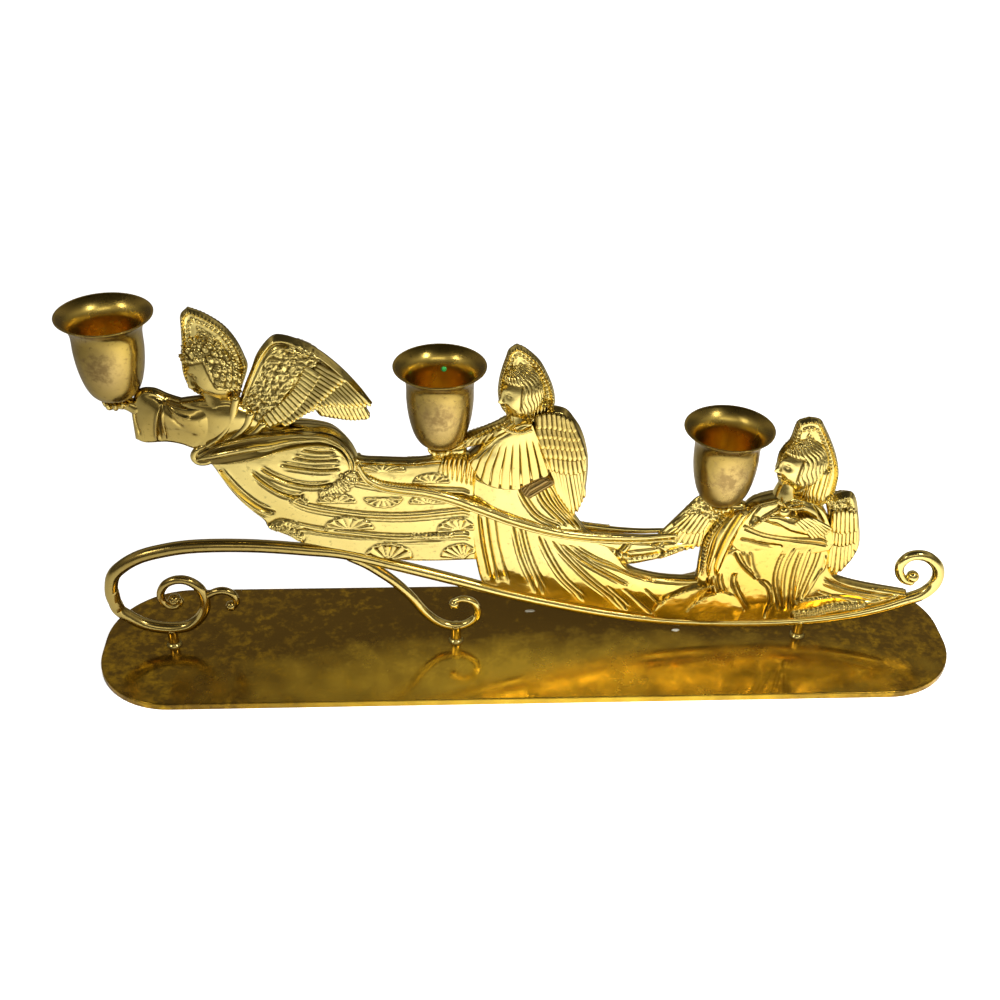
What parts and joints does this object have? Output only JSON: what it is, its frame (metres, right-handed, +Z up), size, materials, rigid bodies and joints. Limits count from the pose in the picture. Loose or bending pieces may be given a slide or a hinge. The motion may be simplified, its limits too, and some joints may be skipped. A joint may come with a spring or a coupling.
{
  "type": "taper candle holder",
  "caption": "Table candle holder: a scrolled sleigh runner with flying angels in relief, each holding a trumpet-lipped cup, on a long rounded base plate.",
  "frame": {"origin": "centre of the base plate's underside", "axes": "+X along the plate towards the curled tail, +Y away from the front, +Z up"},
  "size_m": [0.33, 0.0688, 0.148],
  "materials": {
    "bright_gold_casting": "bright polished gold plate on a relief casting",
    "aged_cup_brass": "aged brass with brown tarnish, smudged gloss",
    "tarnished_plate": "polished brass plate under a dark mottled tarnish, bright bevelled edge",
    "screw_steel": "brass-washed steel screws"
  },
  "bodies": {
    "root": {"base_plate": "tarnished_plate", "front_post": "bright_gold_casting", "middle_post": "bright_gold_casting", "rear_post": "bright_gold_casting", "base_screws": "screw_steel", "front_scroll": "bright_gold_casting", "side_scroll": "bright_gold_casting", "upper_rail": "bright_gold_casting", "lower_rail": "bright_gold_casting", "middle_leg": "bright_gold_casting", "tail_curl": "bright_gold_casting", "veil_band": "bright_gold_casting", "front_candle_cup": "aged_cup_brass", "middle_candle_cup": "aged_cup_brass", "rear_candle_cup": "aged_cup_brass", "cup_screws": "screw_steel", "front_hand": "bright_gold_casting", "front_sleeve": "bright_gold_casting", "front_head": "bright_gold_casting", "front_halo": "bright_gold_casting", "front_near_wing": "bright_gold_casting", "front_far_wing": "bright_gold_casting", "front_bodice": "bright_gold_casting", "front_skirt": "bright_gold_casting", "front_train": "bright_gold_casting", "middle_hand": "bright_gold_casting", "middle_sleeve": "bright_gold_casting", "middle_head": "bright_gold_casting", "middle_halo": "bright_gold_casting", "middle_near_wing": "bright_gold_casting", "middle_far_wing": "bright_gold_casting", "middle_bodice": "bright_gold_casting", "middle_skirt": "bright_gold_casting", "middle_train": "bright_gold_casting", "rear_hand": "bright_gold_casting", "rear_sleeve": "bright_gold_casting", "rear_head": "bright_gold_casting", "rear_halo": "bright_gold_casting", "rear_near_wing": "bright_gold_casting", "rear_far_wing": "bright_gold_casting", "rear_bodice": "bright_gold_casting", "rear_skirt": "bright_gold_casting", "rear_train": "bright_gold_casting", "dove": "bright_gold_casting"}
  },
  "joints": []
}
